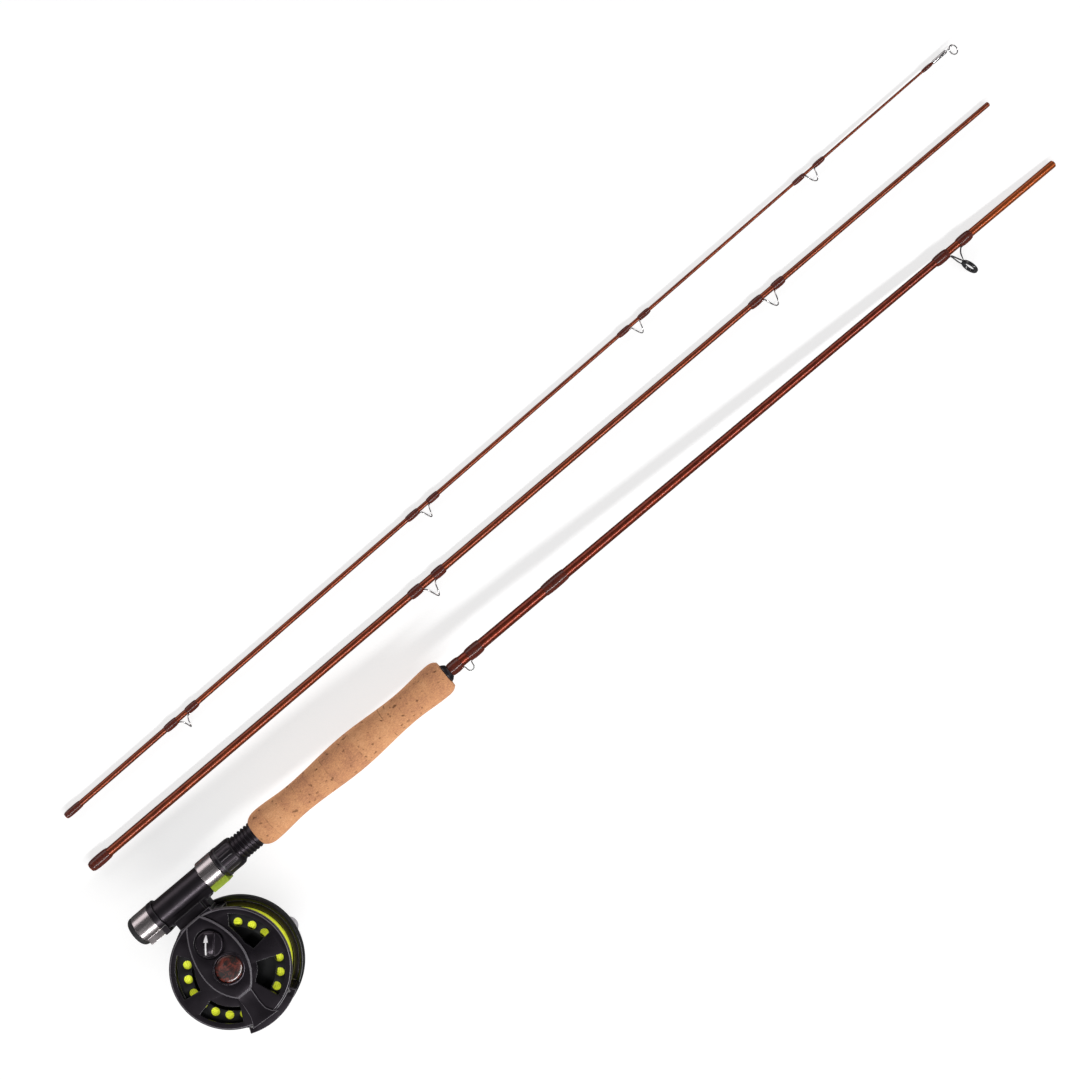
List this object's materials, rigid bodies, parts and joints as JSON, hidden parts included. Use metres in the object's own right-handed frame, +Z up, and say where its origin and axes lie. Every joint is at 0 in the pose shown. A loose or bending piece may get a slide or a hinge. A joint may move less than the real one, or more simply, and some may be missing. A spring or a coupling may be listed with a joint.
{
  "type": "fly rod and reel",
  "caption": "Fly fishing rod taken apart in three sections laid side by side, cork grip, screw-lock reel seat and a rim-control fly reel with wound line.",
  "frame": {"origin": "centre of the object's footprint, on the surface that it lies on", "axes": "+X runs along the rod from the butt towards the tip, +Y from the reel towards the loose sections, +Z up, away from the surface"},
  "size_m": [0.8586, 0.2204, 0.0645],
  "materials": {
    "blank": "clear red-brown gloss varnish over the wound blank",
    "thread": "red-brown thread under clear epoxy",
    "cork": "sanded natural cork with dark pits",
    "rubber": "matt black rubber",
    "hood_metal": "polished gunmetal",
    "seat_plastic": "satin black",
    "arbor_foam": "dense foam rings",
    "lime_plastic": "bright lime, satin",
    "guide_wire": "bright wire",
    "guide_frame": "black plated wire and ring",
    "ceramic": "polished dark ceramic",
    "frame_composite": "satin black composite",
    "spool_composite": "black composite with a soft gloss",
    "medallion": "marbled red-brown under clear resin",
    "steel": "bright steel",
    "brass": "turned brass",
    "fly_line": "bright lime line coating",
    "knob_plastic": "light grey satin"
  },
  "bodies": {
    "butt_section": {"butt_blank": "blank", "butt_cap": "rubber", "fixed_hood": "hood_metal", "hood_collar": "seat_plastic", "seat_barrel": "seat_plastic", "seat_arbors": "arbor_foam", "cork_rings": "cork", "winding_check": "seat_plastic", "hook_keeper": "guide_wire", "keeper_wraps": "thread", "accent_wrap": "thread", "stripping_guide_frame": "guide_frame", "stripping_guide_ring": "ceramic", "stripping_guide_wraps": "thread", "reel_foot": "seat_plastic", "foot_screws": "steel", "frame_plate": "frame_composite", "frame_cage": "frame_composite", "frame_screws": "steel", "leaf_cover": "frame_composite", "cover_screws": "steel", "medallion": "medallion", "medallion_bezel": "frame_composite", "spindle": "steel", "spindle_nut": "steel", "click_posts": "steel", "click_spring": "steel"},
    "drag_dial": {"drag_dial": "frame_composite", "drag_cam": "steel"},
    "click_pawl": {"click_pawl": "steel"},
    "spool": {"spool": "spool_composite", "palming_rim": "spool_composite", "spool_bush": "brass", "click_ratchet": "steel", "line_winding": "fly_line", "latch_cover": "frame_composite", "latch_screws": "steel", "latch_spring": "steel", "counterweight": "steel", "handle_pin": "steel"},
    "latch_lever": {"latch_lever": "steel"},
    "handle_knob": {"handle_knob": "knob_plastic"},
    "sliding_hood": {"sliding_hood": "hood_metal", "hood_insert": "lime_plastic"},
    "lock_nut": {"lock_nut": "seat_plastic"},
    "mid_section": {"mid_blank": "blank", "mid_ferrule_wrap": "thread", "mid_snake_guide_1": "guide_wire", "mid_snake_guide_2": "guide_wire", "mid_guide_wraps": "thread"},
    "tip_section": {"tip_blank": "blank", "tip_ferrule_wrap": "thread", "tip_snake_guide_1": "guide_wire", "tip_snake_guide_2": "guide_wire", "tip_snake_guide_3": "guide_wire", "tip_snake_guide_4": "guide_wire", "tip_guide_wraps": "thread", "tip_top": "guide_wire", "tip_top_wrap": "thread"}
  },
  "joints": [
    {"name": "spool_spin", "type": "hinge", "parent": "butt_section", "child": "spool", "pos_m": [-0.38087, -0.06413, 0.04196], "axis": [0.0483, 0, 0.9988], "continuous": true},
    {"name": "knob_spin", "type": "hinge", "parent": "spool", "child": "handle_knob", "pos_m": [-0.34771, -0.07085, 0.01232], "axis": [0.0483, 0, 0.9988], "continuous": true},
    {"name": "drag_turn", "type": "hinge", "parent": "butt_section", "child": "drag_dial", "pos_m": [-0.38029, -0.04013, 0.05395], "axis": [0.0483, 0, 0.9988], "range_deg": [0, 270]},
    {"name": "click_swing", "type": "hinge", "parent": "butt_section", "child": "click_pawl", "pos_m": [-0.37059, -0.05153, 0.04747], "axis": [-0.0483, 0, -0.9988], "range_deg": [0, 6], "stiffness_Nm_per_rad": 0.01, "springref_deg": -5.73, "deforming": ["click_spring"]},
    {"name": "latch_slide", "type": "slide", "parent": "spool", "child": "latch_lever", "axis": [-0.9988, 0, 0.0483], "range_m": [0, 0.0012], "stiffness_N_per_m": 150, "springref_m": -0.001, "deforming": ["latch_spring"]},
    {"name": "hood_slide", "type": "slide", "parent": "butt_section", "child": "sliding_hood", "axis": [0.9988, 0, -0.0483], "range_m": [0, 0.01121]},
    {"name": "nut_turn", "type": "hinge", "parent": "sliding_hood", "child": "lock_nut", "pos_m": [-0.33792, -0.00313, 0.03988], "axis": [0.9988, 0, -0.0483], "range_deg": [0, 1440]},
    {"name": "mid_slide", "type": "slide", "parent": "butt_section", "child": "mid_section", "axis": [0, 1, 0], "range_m": [0, 0.15]},
    {"name": "tip_slide", "type": "slide", "parent": "mid_section", "child": "tip_section", "axis": [0, 1, 0], "range_m": [0, 0.15]}
  ],
  "couplings": [
    {"joint": "hood_slide", "follows": "nut_turn", "m_per_rad": 0.00044563}
  ]
}
